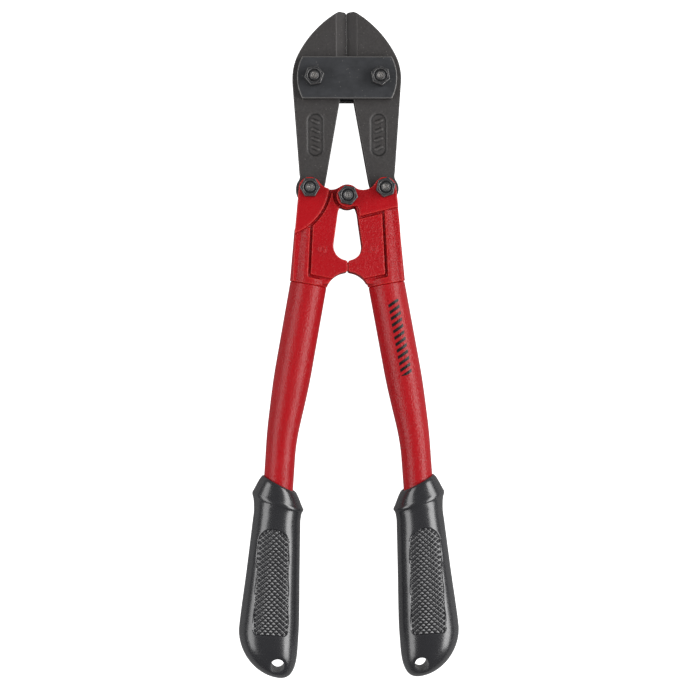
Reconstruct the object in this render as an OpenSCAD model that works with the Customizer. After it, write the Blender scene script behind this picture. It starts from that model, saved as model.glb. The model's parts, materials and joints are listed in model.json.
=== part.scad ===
// Compound-lever bolt cutters with centre-cut jaws, lying flat with the nut side up.
// Millimetres. X runs across the tool, Y from the grips to the jaw tips, Z up from the floor.
// The two head pivots carry the jaws, each jaw carries a handle, and the handles meet at the centre pivot.

/* [Overall] */
// Centre pivot to jaw tips
tip_reach = 99.8; // [80:0.2:130]
// Centre pivot to the ends of the grips
handle_reach = 260.2; // [230:0.2:420]
// Thickness of the jaw forgings and of the centre tongue
jaw_t = 10; // [8:0.5:12]

/* [Pivots] */
// Head pivots, sideways from the centre line
head_pivot_x = 17.65; // [16.5:0.05:19]
// Jaw tips, above the head pivots
blade_rise = 36.1; // [34:0.1:40]
// Link pivots, sideways from the centre line
link_pivot_x = 20.15; // [19.5:0.05:21.5]
// Link pivots, above the centre pivot
link_pivot_y = 4.2; // [3.5:0.1:5.5]
// Shank diameter of every bolt
bolt_d = 6; // [5:0.1:7.2]
// Running clearance of every bolt in its holes, on the radius
bolt_fit = 0.05; // [0.02:0.01:0.1]
// Gap between faces that slide past each other
slide_gap = 0.1; // [0.05:0.05:0.3]

/* [Fasteners] */
// Nut size across flats
nut_af = 9.5; // [8:0.5:11]
// Nut height
nut_h = 5; // [4:0.5:6]
// Bolt head size across flats
head_af = 10; // [8:0.5:11]
// Bolt head height
head_h = 4; // [3:0.5:4]

/* [Jaws] */
// Radius of the long curve behind each jaw tip
ogive_r = 57.4; // [54:0.2:62]
// Radius of the shoulder beside each head pivot
shoulder_r = 28.6; // [27:0.1:30]
// Depth of the cutting bevel, measured across the jaw
bevel_w = 5.6; // [3:0.1:7]
// Radius of the round lower end of each jaw arm
arm_lobe_r = 7.5; // [7:0.1:8]
// Radius of the hollow between that end and the arm's outer edge
arm_fillet_r = 5; // [3:0.5:6]
// Radius of the round ends of the recessed panel on each arm
panel_r = 4.4; // [3:0.1:5]
// Depth of that panel
panel_depth = 0.3; // [0.2:0.05:0.6]
// Space left between the two cutting edges
edge_gap = 0.1; // [0.05:0.05:0.5]

/* [Head plates] */
// Plate thickness
plate_t = 4; // [3:0.5:5]
// Plate height
plate_h = 22.5; // [18:0.5:25]
// Plate width over its curved ends
plate_w = 53.6; // [50:0.2:55]
// Radius of the curved ends
plate_end_r = 24; // [20:1:26]

/* [Handle castings] */
// Height of the ears above the middle plane
ear_h = 10; // [9:0.25:12]
// Height of the web pad above the middle plane
pad_h = 9.1; // [8.5:0.1:9.5]
// Height of the groove floor above the middle plane
groove_h = 7.6; // [6.5:0.1:8]
// Width of the grooves round the web pad
groove_w = 1.5; // [1:0.1:2]
// Radius of the ears round the bolts
ear_r = 5.95; // [5.6:0.05:6.4]
// Radius of the tongue round the centre bolt
tongue_r = 6.7; // [6.5:0.1:7.2]
// Radial play of the centre bolt in the tongue, which the linkage needs to open and close
tongue_play = 1.75; // [1.7:0.05:2.2]
// Space between the two stop noses
stop_gap = 0.2; // [0.1:0.1:0.6]
// Radius of the window between the castings
window_r = 7.7; // [6:0.1:8]

/* [Handle tubes] */
// Tube diameter at the castings
tube_d = 19.8; // [17:0.2:24]
// Step from the tube out to the collar that it meets
collar_step = 0.4; // [0.2:0.1:1]
// Tube diameter at the grips
tube_end_d = 16.1; // [13.5:0.1:19]
// Tube wall
tube_wall = 1.6; // [1.2:0.1:2]
// Lean of the upper tube from the tool's centre line
lean_top = 10.2; // [8:0.1:12]
// Lean of the lower tube and grip
lean_low = 4; // [2:0.1:6]
// Radius of the bend between them
bend_r = 180; // [120:5:220]
// Length of the taper above the bend
taper_run = 31; // [15:1:36]

/* [Grips] */
// Grip width where it is thickest
grip_w = 32.3; // [30:0.1:34]
// Grip thickness where it is thickest
grip_t = 26; // [24:0.5:26.5]
// Wall of the grip's rim round the tube
rim_wall = 1.55; // [1:0.05:2]
// Radius of the hanging hole
hang_r = 3.7; // [3:0.1:4.5]

/* [Hidden] */
$fn = 96;
eps = 0.01;
far = 60;                                // further than anything across the tool
fastener_fn = 6;
spindle_r = bolt_d / 2;
hole_r = spindle_r + bolt_fit;
jaw_h = jaw_t / 2;
layer_in = jaw_h + slide_gap;            // inner face of plates and ears
plate_out = layer_in + plate_t;          // outer face of the head plates
mid_z = max(ear_h, plate_out) + head_h;  // middle plane above the floor
centre_y = (handle_reach - tip_reach) / 2;
head_pivot = [head_pivot_x, tip_reach - blade_rise];
link = [link_pivot_x, link_pivot_y];

// jaw outline, right-hand side: shoulder and ogive arcs, then the arm
edge_lean = 4.7;
shoulder_c = head_pivot - [16.95, 0.2];
ogive_turn = 27.85;
ogive_c = shoulder_c + (shoulder_r - ogive_r) * [cos(ogive_turn), sin(ogive_turn)];
shoulder_low = shoulder_c + shoulder_r * [cos(edge_lean), -sin(edge_lean)];
shoulder_top = shoulder_c + shoulder_r * [cos(ogive_turn), sin(ogive_turn)];
tip_angle = asin((tip_reach - ogive_c.y) / ogive_r);
tip_corner = ogive_c + ogive_r * [cos(tip_angle), sin(tip_angle)];
plate_drop = 0.3;                        // middle of the head plates, below the head pivots
notch_w = 0.9;
notch_d = 1.2;
blade_base_y = head_pivot.y + 9;
relief = [4.1, head_pivot.y - 13.8];     // upper point of the arm's inner edge
arm_in = link + [-8.55, 3.8];            // lower point of it
arm_edge_x = link.x + 5.3;               // arm's outer edge just above its round end
fillet_lap = 0.1;                        // keeps the arm's corner clear of the fillet's tangent
arm_fillet_c = [arm_edge_x + arm_fillet_r,
                link.y + sqrt(pow(arm_lobe_r + arm_fillet_r, 2) - pow(arm_edge_x + arm_fillet_r - link.x, 2))];

// recessed panel on the arm, centred in the length between the ear and the head plate
free_low = link.y + ear_r;
free_top = head_pivot.y - plate_drop - plate_h / 2;
free_mid = 0.55;
free_used = 0.55;
panel_c = [link.x - 3.1, free_low + free_mid * (free_top - free_low)];
panel_half = free_used * (free_top - free_low) / 2 - panel_r;
bar_count = 4;
bar_w = 1;
bar_lean = 25;

// casting outline, right-hand side
collar = [link.x + 0.95, -46.9];
collar_r = tube_d / 2 + collar_step;
collar_l = 5;
column_low = [link.x + 0.75, -44];
column_top = [link.x - 1.85, -8];
column_low_r = collar_r - 0.2;
column_top_r = collar_r - 0.95;
ear_fillet_r = 7.8;
flank_low = [link.x + 8.05, -17];
inner_top = [5.2, -8.5];
window_c = [0, -26.7];
window_edge = 8;                         // angle at which the inner edge leaves the window
arch_c = [0, -52.2];
arch_r = 11.6;
nose_r = 1.3;
nose_top_y = -35.65;
nose_low_y = -39.3;
pad_low_y = -44.3;
pad_inset = 0.95;                        // pad edge, short of the column's crest
left_ear_c = [link.x + 19.35, 7.8];
left_ear_r = 30;
right_ear_in = [6.1, -10.9];
right_ear_out = [link.x + 7.85, -5.6];
mark_c = [link.x - 6.55, -28.5];         // raised ring on each pad
mark_r = 1.9;
mark_w = 0.7;
mark_h = 0.35;
slot_r = arm_lobe_r + 0.35;
slot_sweep = 56;
link_drift = tongue_play + slide_gap;    // the two halves of the centre joint shift by this much
tongue_slot_r = tongue_r + link_drift;
spigot_l = 24;
spigot_fit = 0.05;

// tube and grip, right-hand side
lower_run = 130.85;                      // bend to the end of the grip
tube_run = (handle_reach + collar.y - lower_run * cos(lean_low)) / cos(lean_top);
bend_t = bend_r * tan((lean_top - lean_low) / 2);
taper_end = tube_run - bend_t - 0.5;
taper_start = taper_end - taper_run;
tube_lower = 96;
seam_lap = 1;                            // the lower tube's overlap with the bend
seam_step = 0.05;
grip_fit = 0.05;
rim_w = tube_end_d + 2 * rim_wall;
hang = [-5.8, 121];

black_oxide = [0.13, 0.13, 0.13];
plate_black = [0.10, 0.10, 0.11];
zinc_black = [0.2, 0.21, 0.23];
red_coat = [0.68, 0.07, 0.09];
grip_black = [0.05, 0.05, 0.05];

// ---------- shared helpers ----------

// puts the centre pivot's middle at its place over the floor
module in_place() { translate([0, centre_y, mid_z]) children(); }

module left_side() { mirror([1, 0, 0]) children(); }

// a slab from one height to another
module slab(z0, z1) { translate([0, 0, z0]) linear_extrude(z1 - z0) children(); }

// the same slab above and below the middle plane
module both_faces(z0, z1) {
    slab(z0, z1) children();
    slab(-z1, -z0) children();
}

// pie slice of a disc between two angles, for outlines made of arcs
module pie(c, r, a0, a1) {
    reach = 2 * r;
    intersection() {
        translate(c) circle(r);
        polygon([c, c + reach * [cos(a0), sin(a0)],
                 c + reach * [cos((a0 + a1) / 2), sin((a0 + a1) / 2)], c + reach * [cos(a1), sin(a1)]]);
    }
}

// centre of the fillet circle that touches two lobes from above
function fillet_centre(ra, b, rb, rf) =
    let (d = norm(b), da = ra + rf, db = rb + rf,
         along = (da * da - db * db + d * d) / (2 * d), off = sqrt(da * da - along * along))
    [b.x * along - b.y * off, b.y * along + b.x * off] / d;

// ---------- jaws ----------

module jaw_outline() {
    intersection() {
        union() {
            difference() {
                polygon([[0, blade_base_y], [0, tip_reach], tip_corner, shoulder_top, shoulder_c, shoulder_low,
                         [arm_edge_x + fillet_lap, arm_fillet_c.y], arm_fillet_c, link,
                         link - [arm_lobe_r, 0], arm_in, relief]);
                translate(arm_fillet_c) circle(arm_fillet_r);
            }
            pie(shoulder_c, shoulder_r, -edge_lean, ogive_turn);
            pie(ogive_c, ogive_r, ogive_turn, tip_angle);
        }
        translate([edge_gap / 2, -far]) square([far, tip_reach + far]);
    }
}

// sunk panel with plain slanted bars left standing in it
module jaw_panel() {
    translate(panel_c) difference() {
        union() {
            for (s = [-1, 1]) translate([0, s * panel_half]) circle(panel_r);
            square([2 * panel_r, 2 * panel_half], center = true);
        }
        for (i = [0:bar_count - 1])
            translate([0, (i - (bar_count - 1) / 2) * 2 * panel_half / (bar_count - 1)]) rotate(bar_lean)
                square([panel_r, bar_w], center = true);
    }
}

// wedge that grinds the blade down to an edge on the middle plane
module blade_bevels() {
    for (s = [-1, 1])
        translate([0, tip_reach + 1, 0]) rotate([90, 0, 0]) linear_extrude(tip_reach + 1 - blade_base_y)
            polygon([[edge_gap / 2 - 1, 0], [edge_gap / 2, 0], [edge_gap / 2 + bevel_w, s * jaw_h],
                     [edge_gap / 2 + bevel_w, s * (jaw_h + 1)], [edge_gap / 2 - 1, s * (jaw_h + 1)]]);
}

module jaw() {
    difference() {
        union() {
            slab(-jaw_h, jaw_h) jaw_outline();
            slab(-jaw_h, jaw_h) translate(link) circle(arm_lobe_r);
        }
        slab(jaw_h - panel_depth, jaw_h + 1) jaw_panel();
        blade_bevels();
        slab(-jaw_h - 1, jaw_h + 1)
            polygon([[-1, tip_reach + 1], [notch_w, tip_reach + 1], [notch_w, tip_reach],
                     [0, tip_reach - notch_d], [-1, tip_reach - notch_d]]);
        for (p = [head_pivot, link])
            translate([p.x, p.y, -jaw_h - 1]) cylinder(r = hole_r, h = jaw_t + 2);
    }
}

// ---------- head plates ----------

module head_plate() {
    difference() {
        slab(0, plate_t) translate([0, head_pivot.y - plate_drop]) intersection() {
            square([plate_w + 2, plate_h], center = true);
            union() for (s = [-1, 1]) translate([s * (plate_w / 2 - plate_end_r), 0]) circle(plate_end_r);
        }
        for (s = [-1, 1])
            translate([s * head_pivot.x, head_pivot.y, -1]) cylinder(r = hole_r, h = plate_t + 2);
    }
}

// ---------- bolts and nuts ----------

// hex bolt, pointing up from the outer face of what it clamps to just past its nut
module bolt(grip_half) {
    tip = grip_half + nut_h + 0.5;
    crown = 0.8;
    flank = 0.7;
    translate([0, 0, -grip_half - head_h]) cylinder(d = head_af / cos(30), h = head_h, $fn = fastener_fn);
    translate([0, 0, -grip_half - eps]) cylinder(r = spindle_r, h = grip_half + tip - crown + eps);
    translate([0, 0, tip - crown]) cylinder(r1 = spindle_r, r2 = spindle_r - flank, h = crown);
}

// hex nut with a chamfered top and a countersunk bore
module nut(seat, turn) {
    corner_r = nut_af / cos(30) / 2;
    sink = 0.5;
    translate([0, 0, seat]) difference() {
        intersection() {
            rotate(turn) cylinder(r = corner_r, h = nut_h, $fn = fastener_fn);
            cylinder(r1 = corner_r + nut_h * 1.7, r2 = nut_af / 2 + 0.2, h = nut_h);
        }
        translate([0, 0, -1]) cylinder(r = hole_r, h = nut_h + 2);
        translate([0, 0, nut_h - sink]) cylinder(r1 = hole_r, r2 = hole_r + sink, h = sink + eps);
    }
}

module head_joint(side) { translate([side * head_pivot.x, head_pivot.y, 0]) children(); }
module link_joint(side) { translate([side * link.x, link.y, 0]) children(); }

// ---------- handle castings, drawn for the right-hand side ----------

// the two lobes and the hollow curve between them
module lobes(centre_r) {
    f = fillet_centre(centre_r, link, ear_r, ear_fillet_r);
    circle(centre_r);
    translate(link) circle(ear_r);
    difference() {
        polygon([[0, 0], f, link, [link.x, link.y - 8], [3, -5.5]]);
        translate(f) circle(ear_fillet_r);
    }
}

// outline below the pivots: flank, collar, stop nose, window and inner edge
module web_outline() {
    nose_x = nose_r + stop_gap / 2;
    difference() {
        polygon([[2.2, 0.5], link, link + ear_r * [cos(5.7), sin(5.7)], flank_low, collar + [8.5, 3],
                 collar + [8.5, 0], [nose_x, collar.y], [nose_x, window_c.y],
                 window_c + window_r * [cos(window_edge), sin(window_edge)], inner_top]);
        translate(window_c) circle(window_r);
        translate(arch_c) circle(arch_r);
        translate(collar) rotate(lean_top) translate([-20, -20]) square([40, 20]);
    }
    for (y = [nose_top_y, nose_low_y]) translate([nose_x, y]) circle(nose_r);
    translate([stop_gap / 2, nose_low_y]) square([nose_r + 0.5, nose_top_y - nose_low_y]);
}

// region taken up by the raised pad; grow widens it by the groove
module pad_region(grow) {
    edge = grow - pad_inset;
    polygon([[-5, 10], [column_top.x + edge, 10], [column_low.x + edge, pad_low_y + 2.5 - grow],
             [8, pad_low_y - grow], [-5, pad_low_y]]);
}

module column() {
    along = column_top - column_low;
    translate([column_low.x, column_low.y, 0]) rotate([-90, 0, atan2(along.y, along.x) - 90])
        cylinder(r1 = column_low_r, r2 = column_top_r, h = norm(along));
    translate([collar.x, collar.y, 0]) rotate([-90, 0, lean_top]) cylinder(r = collar_r, h = collar_l);
}

module spigot() {
    translate([collar.x, collar.y, 0]) rotate([90, 0, lean_top])
        translate([0, 0, -eps]) cylinder(r = tube_d / 2 - tube_wall - spigot_fit, h = spigot_l);
}

// everything the two castings share, before the ears go on
module casting_body(is_left) {
    difference() {
        union() {
            intersection() {
                column();
                slab(-far, far) translate([0, -far]) square([far, far + (is_left ? flank_low.y : -7.5)]);
            }
            slab(-groove_h - 0.2, groove_h + 0.2) web_outline();
        }
        both_faces(groove_h, 20) intersection() {
            pad_region(groove_w);
            translate([0, -far]) square([far, far + 8]);
            if (is_left) outside_left_ear(0);
        }
    }
    slab(-pad_h, pad_h) intersection() {
        web_outline();
        pad_region(0);
        if (is_left) outside_left_ear(groove_w);
        else
            polygon([right_ear_in + [-8, 2 - groove_w], right_ear_in - [0, groove_w],
                     right_ear_out - [0, groove_w], [far, -far], [-2, -far]]);
    }
    slab(pad_h - eps, pad_h + mark_h) translate(mark_c) difference() {
        circle(mark_r);
        circle(mark_r - mark_w);
    }
    spigot();
}

module outside_left_ear(grow) {
    difference() {
        square(2 * far, center = true);
        translate(left_ear_c) circle(left_ear_r + grow);
    }
}

module left_ear_outline() {
    intersection() {
        union() { lobes(tongue_r); web_outline(); }
        translate(left_ear_c) circle(left_ear_r);
    }
}

module right_ear_outline() {
    lobes(ear_r);
    intersection() {
        web_outline();
        polygon([[3, 8], [3, -5.5], [5.2, -5.6], [right_ear_in.x, -7.6], right_ear_in, right_ear_out,
                 [right_ear_out.x, 8]]);
    }
}

// room for the jaw's round end and for its arm as the handle swings out
module jaw_slot() {
    swing = [cos(slot_sweep), -sin(slot_sweep)];
    low = link + slot_r * swing;
    out = low + far * [sin(slot_sweep), cos(slot_sweep)];
    slab(-layer_in, layer_in) {
        translate(link) circle(slot_r);
        polygon([link, link - [slot_r, 0], arm_in - [0.5, 0.6], [arm_in.x - 0.5, 40], [far, 40], out, low]);
    }
}

module link_hole() {
    translate([link.x, link.y, -ear_h - 1]) cylinder(r = hole_r, h = 2 * ear_h + 2);
}

module left_casting() {
    difference() {
        union() {
            difference() {
                union() {
                    casting_body(true);
                    slab(-ear_h, ear_h) left_ear_outline();
                }
                both_faces(jaw_h, 20) circle(ear_r + link_drift);
            }
            slab(-jaw_h, jaw_h) lobes(tongue_r);
        }
        jaw_slot();
        link_hole();
        translate([0, 0, -jaw_h - 1]) cylinder(r = spindle_r + tongue_play, h = jaw_t + 2);
    }
}

module right_casting() {
    difference() {
        union() {
            casting_body(false);
            slab(-ear_h, ear_h) right_ear_outline();
        }
        jaw_slot();
        slab(-layer_in, layer_in) circle(tongue_slot_r);
        link_hole();
        translate([0, 0, -ear_h - 1]) cylinder(r = hole_r, h = 2 * ear_h + 2);
    }
}

// ---------- handle tubes, drawn for the right-hand side ----------

module along_upper() { translate([collar.x, collar.y, 0]) rotate([90, 0, lean_top]) children(); }

module along_lower() {
    along_upper() translate([0, 0, tube_run]) rotate([0, lean_low - lean_top, 0]) children();
}

// straight, tapered, bent and straight again; shrink gives the bore
module tube_solid(shrink, extra) {
    r_top = tube_d / 2 - shrink;
    r_low = tube_end_d / 2 - shrink;
    along_upper() {
        translate([0, 0, -extra]) cylinder(r = r_top, h = taper_start + extra);
        translate([0, 0, taper_start]) cylinder(r1 = r_top, r2 = r_low, h = taper_end - taper_start);
        translate([0, 0, taper_end]) cylinder(r = r_low, h = tube_run - bend_t - taper_end);
        translate([-bend_r, 0, tube_run - bend_t]) rotate([90, 0, 0])
            rotate_extrude(angle = lean_top - lean_low) translate([bend_r, 0]) circle(r_low);
    }
    along_lower() translate([0, 0, bend_t - seam_lap])
        cylinder(r = r_low - seam_step, h = tube_lower - bend_t + seam_lap + extra);
}

module handle_tube() {
    difference() {
        tube_solid(0, 0);
        tube_solid(tube_wall, 1);
    }
}

// ---------- grips, drawn for the right-hand side ----------

// thin oval section across the grip: u sideways, v down the handle
module oval(u, v, w, t, tilt) {
    translate([u, 0, v]) rotate([0, tilt, 0]) scale([w, t, 1]) cylinder(d = 1, h = 0.4, center = true, $fn = 64);
}

module grip_ball(u, v, r, t) { translate([u, 0, v]) scale([1, t / (2 * r), 1]) sphere(r, $fn = 40); }

module grip() {
    difference() {
        along_lower() {
            hull() {
                oval(-0.6, 25.4, rim_w, rim_w, 21);
                oval(-0.3, 34.8, 29, 24.5, 14);
            }
            hull() {
                oval(-0.3, 34.8, 29, 24.5, 14);
                oval(-0.4, 43.4, 25.7, 22.8, 8);
            }
            hull() {
                oval(-0.4, 43.4, 25.7, 22.8, 8);
                oval(0, 72, 29, grip_t - 1, 3);
                oval(0.1, 101, grip_w, grip_t, 0);
                grip_ball(7.1, 108, 8.9, 23);
                grip_ball(-7.9, 122, 8.4, 20.5);
            }
        }
        along_lower() translate([0, 0, 20])
            cylinder(r = tube_end_d / 2 - seam_step + grip_fit, h = tube_lower - 19.5);
        along_lower() translate([hang.x, 0, hang.y]) rotate([90, 0, 0])
            cylinder(r = hang_r, h = 2 * grip_t, center = true);
    }
}

// ---------- placed parts ----------

module left_jaw() { color(black_oxide) in_place() left_side() jaw(); }
module right_jaw() { color(black_oxide) in_place() jaw(); }
module front_head_plate() { color(plate_black) in_place() translate([0, 0, layer_in]) head_plate(); }
module rear_head_plate() { color(plate_black) in_place() translate([0, 0, -plate_out]) head_plate(); }
module left_head_bolt() { color(zinc_black) in_place() head_joint(-1) bolt(plate_out); }
module right_head_bolt() { color(zinc_black) in_place() head_joint(1) bolt(plate_out); }
module left_head_nut() { color(zinc_black) in_place() head_joint(-1) nut(plate_out, 40); }
module right_head_nut() { color(zinc_black) in_place() head_joint(1) nut(plate_out, 10); }
module left_handle_casting() { color(red_coat) in_place() left_side() left_casting(); }
module right_handle_casting() { color(red_coat) in_place() right_casting(); }
module left_link_bolt() { color(zinc_black) in_place() link_joint(-1) bolt(ear_h); }
module right_link_bolt() { color(zinc_black) in_place() link_joint(1) bolt(ear_h); }
module left_link_nut() { color(zinc_black) in_place() link_joint(-1) nut(ear_h, 30); }
module right_link_nut() { color(zinc_black) in_place() link_joint(1) nut(ear_h, 47); }
module centre_bolt() { color(zinc_black) in_place() bolt(ear_h); }
module centre_nut() { color(zinc_black) in_place() nut(ear_h, 18.5); }
module left_handle_tube() { color(red_coat) in_place() left_side() handle_tube(); }
module right_handle_tube() { color(red_coat) in_place() handle_tube(); }
module left_grip() { color(grip_black) in_place() left_side() grip(); }
module right_grip() { color(grip_black) in_place() grip(); }

left_jaw();
right_jaw();
front_head_plate();
rear_head_plate();
left_head_bolt();
right_head_bolt();
left_head_nut();
right_head_nut();
left_handle_casting();
right_handle_casting();
left_link_bolt();
right_link_bolt();
left_link_nut();
right_link_nut();
centre_bolt();
centre_nut();
left_handle_tube();
right_handle_tube();
left_grip();
right_grip();
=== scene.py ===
"""Looks for the compound-lever bolt cutters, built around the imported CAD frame.

Everything is in metres in the frame's own axes: X across the tool, Y from the grips to the jaw
tips, Z up from the floor.  Lengths named in millimetres are turned to metres by mm().
"""

import json
import math

import bpy
import numpy as np
from bpy.props import FloatProperty, FloatVectorProperty, IntProperty, PointerProperty, StringProperty
from mathutils import Euler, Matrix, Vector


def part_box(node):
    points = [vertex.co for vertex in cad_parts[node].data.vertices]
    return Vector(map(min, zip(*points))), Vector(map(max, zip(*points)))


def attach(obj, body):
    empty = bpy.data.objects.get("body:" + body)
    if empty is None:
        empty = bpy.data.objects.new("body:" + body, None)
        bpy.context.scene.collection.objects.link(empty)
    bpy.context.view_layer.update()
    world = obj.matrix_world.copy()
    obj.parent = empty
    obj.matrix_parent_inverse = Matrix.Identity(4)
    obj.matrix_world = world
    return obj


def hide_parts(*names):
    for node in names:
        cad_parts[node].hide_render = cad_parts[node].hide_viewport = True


bl_info = {
    "name": "Bolt Cutters",
    "version": (1, 0, 0),
    "blender": (4, 5, 0),
    "location": "3D View > Sidebar > Bolt Cutters",
    "description": "Builds the finished surfaces of a pair of bolt cutters on its CAD frame",
    "category": "Object",
}

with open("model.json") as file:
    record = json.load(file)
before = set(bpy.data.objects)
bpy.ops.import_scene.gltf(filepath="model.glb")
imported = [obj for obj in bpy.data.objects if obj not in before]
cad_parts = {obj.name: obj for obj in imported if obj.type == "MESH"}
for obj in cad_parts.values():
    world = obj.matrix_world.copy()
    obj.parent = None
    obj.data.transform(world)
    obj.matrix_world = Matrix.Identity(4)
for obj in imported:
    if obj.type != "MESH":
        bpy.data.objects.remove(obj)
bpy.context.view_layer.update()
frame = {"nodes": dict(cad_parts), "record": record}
SIDES = {"left": -1.0, "right": 1.0}


def mm(value):
    """Millimetres to metres."""
    return value * 0.001


def joint_place(name):
    """Where a joint of the record sits, as an array."""
    for joint in frame["record"]["behaviour"]["joints"]:
        if joint["name"] == name:
            return np.array(joint["pos_m"], float)
    raise RuntimeError("no joint " + name)


MID_Z = joint_place("right_handle_pivot")[2]
CENTRE = np.array([0.0, sum(corner[1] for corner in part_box("centre_nut")) / 2, MID_Z])


# ---------------------------------------------------------------- settings

class HandleSettings(bpy.types.PropertyGroup):
    """Sizes of the handle tubes, the same as the CAD frame's."""

    top_r: FloatProperty(name="Top radius", default=mm(9.9), unit="LENGTH",
                         description="Tube radius at the casting")
    end_r: FloatProperty(name="End radius", default=mm(8.05), unit="LENGTH",
                         description="Tube radius inside the grip")
    collar_x: FloatProperty(name="Collar offset", default=mm(21.1), unit="LENGTH",
                            description="Top end of the tube, sideways from the centre line")
    collar_y: FloatProperty(name="Collar drop", default=mm(46.9), unit="LENGTH",
                            description="Top end of the tube, below the centre pivot")
    lean_top: FloatProperty(name="Upper lean", default=math.radians(10.2), subtype="ANGLE",
                            description="Lean of the upper tube from the centre line")
    lean_low: FloatProperty(name="Lower lean", default=math.radians(4.0), subtype="ANGLE",
                            description="Lean of the lower tube and the grip")
    run: FloatProperty(name="Run to the bend", default=mm(84.1), unit="LENGTH",
                       description="Distance from the casting to the middle of the bend")
    low: FloatProperty(name="Lower length", default=mm(95.5), unit="LENGTH",
                       description="Distance from the middle of the bend to the hidden end")
    bend_r: FloatProperty(name="Bend radius", default=mm(180), unit="LENGTH",
                          description="Radius of the bend along its centre line")
    taper_from: FloatProperty(name="Taper start", default=mm(46), unit="LENGTH",
                              description="Where the tube begins to narrow")
    taper_to: FloatProperty(name="Taper end", default=mm(96), unit="LENGTH",
                            description="Where the tube has its end radius")


class GripSettings(bpy.types.PropertyGroup):
    """Sizes of the moulded grips and of their knurled panels."""

    hole_r: FloatProperty(name="Hanging hole radius", default=mm(3.7), unit="LENGTH",
                          description="Radius of the hole through the end of the grip")
    pitch: FloatProperty(name="Knurl pitch", default=mm(2.0), unit="LENGTH",
                         description="Distance between the rows of pyramids")
    knurl: FloatProperty(name="Knurl height", default=mm(0.72), unit="LENGTH",
                         description="Height of the pyramids above their floor")
    sunk: FloatProperty(name="Panel depth", default=mm(0.8), unit="LENGTH",
                        description="How far the panel's floor lies under the grip's surface")
    block: IntProperty(name="Knurl columns", default=30, min=20, max=32,
                       description="Columns of the fine grid on each side of the panel's middle")
    flank: IntProperty(name="Flank columns", default=12, min=6, max=24,
                       description="Columns from the fine grid to the grip's edge")


class FastenerSettings(bpy.types.PropertyGroup):
    """Sizes of the nuts and bolts."""

    nut_af: FloatProperty(name="Nut across flats", default=mm(9.5), unit="LENGTH",
                          description="Nut size across its flats")
    head_af: FloatProperty(name="Head across flats", default=mm(10.0), unit="LENGTH",
                           description="Bolt head size across its flats")
    head_h: FloatProperty(name="Head height", default=mm(4.0), unit="LENGTH",
                          description="Height of the bolt heads")
    shank_r: FloatProperty(name="Shank radius", default=mm(3.0), unit="LENGTH",
                           description="Radius of the bolts")
    round_over: FloatProperty(name="Edge break", default=mm(0.14), unit="LENGTH",
                              description="Size of the broken edges")


class MetalSettings(bpy.types.PropertyGroup):
    """How finely the metal parts are skinned and how much their edges are softened."""

    cast_voxel: FloatProperty(name="Casting grid", default=mm(0.36), unit="LENGTH",
                              description="Grid size of the castings' skin")
    cast_soft: IntProperty(name="Casting softness", default=9, min=0, max=30,
                           description="Smoothing passes over the castings")
    jaw_grid: IntProperty(name="Jaw grid", default=8, min=6, max=9,
                          description="Halvings of the jaw's box that give its skin's grid")
    jaw_soft: IntProperty(name="Jaw softness", default=2, min=0, max=30,
                          description="Smoothing passes over the jaws")
    plate_grid: IntProperty(name="Plate grid", default=7, min=6, max=9,
                            description="Halvings of the plate's box that give its skin's grid")
    plate_soft: IntProperty(name="Plate softness", default=2, min=0, max=30,
                            description="Smoothing passes over the head plates")


class CoatSettings(bpy.types.PropertyGroup):
    """Colours of the finishes, and of the painted shade and highlights laid on them, as sRGB hex values.
    """

    red: StringProperty(name="Powder coat", default="#AE0815", description="Red powder coat")
    red_deep: StringProperty(name="Powder coat, thick", default="#A20711",
                             description="Red powder coat where it lies thick")
    # Paler red at outer edges: partly the coat drawn back from them, partly a painted highlight
    thin_coat_sheen: StringProperty(name="Powder coat, thin", default="#D8403A",
                         description="Red powder coat where it draws back from an edge, partly a painted highlight")
    # Darker red for painted shade in the grooves
    groove_shade: StringProperty(name="Powder coat, pooled", default="#6A040C",
                           description="Painted shade in the grooves of the red powder coat")
    ink: StringProperty(name="Print", default="#151213", description="Black print on the handle")
    pvc: StringProperty(name="Grip PVC", default="#232326", description="Black PVC of the grips")
    pvc_pale: StringProperty(name="Grip PVC, paler", default="#29292C",
                             description="PVC where the pigment is a little paler")
    # Paler PVC for a painted highlight on the knurl's tips
    pvc_tip_highlight: StringProperty(name="Grip PVC, painted highlight", default="#48484C",
                            description="Painted highlight on the tips of the knurl")
    # Near-black PVC for painted shade in the knurl's grooves
    pvc_groove_shade: StringProperty(name="Grip PVC, painted shade", default="#080808",
                               description="PVC at the bottom of the knurl's grooves")
    oxide: StringProperty(name="Black oxide", default="#3D3B3B", description="Black oxide on the jaws")
    oxide_deep: StringProperty(name="Black oxide, deeper", default="#373332",
                               description="Clouds of deeper colour in the black oxide")
    oxide_pale: StringProperty(name="Black oxide, grains", default="#595654",
                               description="Pale grains that the blasting leaves")
    plate: StringProperty(name="Rolled plate", default="#444548", description="Scale on the head plates")
    plate_deep: StringProperty(name="Rolled plate, deeper", default="#343537",
                               description="Clouds of deeper colour in the scale")
    zinc: StringProperty(name="Black plating", default="#404144", description="Plating on nuts and bolts")
    bare: StringProperty(name="Bare steel", default="#9C9894",
                         description="Steel where the finish is worn off")
    # Near-black for painted shade in the grooves of the steel parts
    steel_groove_shade: StringProperty(name="Painted shade", default="#141313", description="Dirt in the grooves of steel")


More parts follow.
